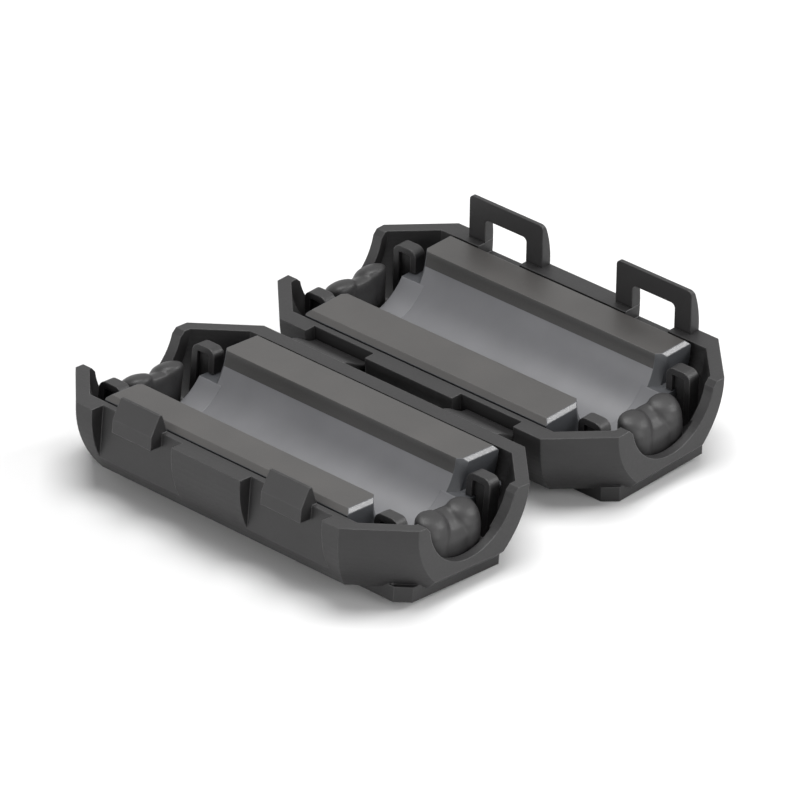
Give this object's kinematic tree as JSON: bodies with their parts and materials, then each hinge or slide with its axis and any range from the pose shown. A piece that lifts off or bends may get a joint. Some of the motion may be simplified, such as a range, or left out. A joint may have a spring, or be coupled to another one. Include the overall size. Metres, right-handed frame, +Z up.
{
  "type": "clip-on ferrite bead",
  "caption": "Clip-on ferrite bead lying open: two hinged half shells, each holding half a ferrite sleeve, with snap loops and hooks.",
  "frame": {"origin": "middle of the open bead's bounding box, on the surface it lies on", "axes": "+X along the cable, +Y from the catch half towards the latch half across the hinge, +Z up"},
  "size_m": [0.0346, 0.043, 0.011],
  "materials": {
    "case": "satin, lightly spark-eroded",
    "ferrite": "ground and satin"
  },
  "bodies": {
    "latch_half": {"latch_shell": "case", "latch_core": "ferrite", "latch_loops": "case", "hinge_straps": "case"},
    "catch_half": {"catch_shell": "case", "catch_core": "ferrite"}
  },
  "joints": [
    {"name": "case_hinge", "type": "hinge", "parent": "latch_half", "child": "catch_half", "pos_m": [0, 0, 0.00672], "axis": [-1, 0, 0], "range_deg": [-5.6, 174.4], "deforming": ["hinge_straps", "latch_loops"]}
  ]
}
